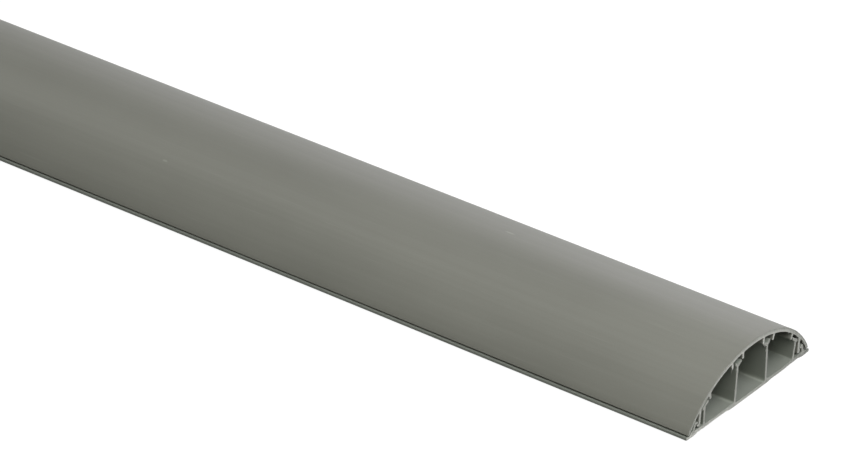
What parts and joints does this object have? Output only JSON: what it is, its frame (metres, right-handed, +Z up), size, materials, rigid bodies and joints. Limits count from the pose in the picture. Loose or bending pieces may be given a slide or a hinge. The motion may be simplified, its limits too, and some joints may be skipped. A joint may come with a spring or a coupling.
{
  "type": "floor cord cover",
  "caption": "Low arched floor trunking: a base channel with dividers for cords and a curved cover that clips onto it, open at both ends.",
  "frame": {"origin": "middle of the underside, halfway along the length, at floor level", "axes": "+X along the length, +Y across the width, +Z up from the floor to the crown of the cover"},
  "size_m": [1, 0.075, 0.0206],
  "materials": {
    "base_pvc": "matt stone-grey rigid PVC, slightly olive, saw-cut ends lighter",
    "cover_pvc": "matt to satin stone-grey rigid PVC, extruded, saw-cut ends lighter"
  },
  "bodies": {
    "root": {"base_channel": "base_pvc", "cover": "cover_pvc"}
  },
  "joints": []
}
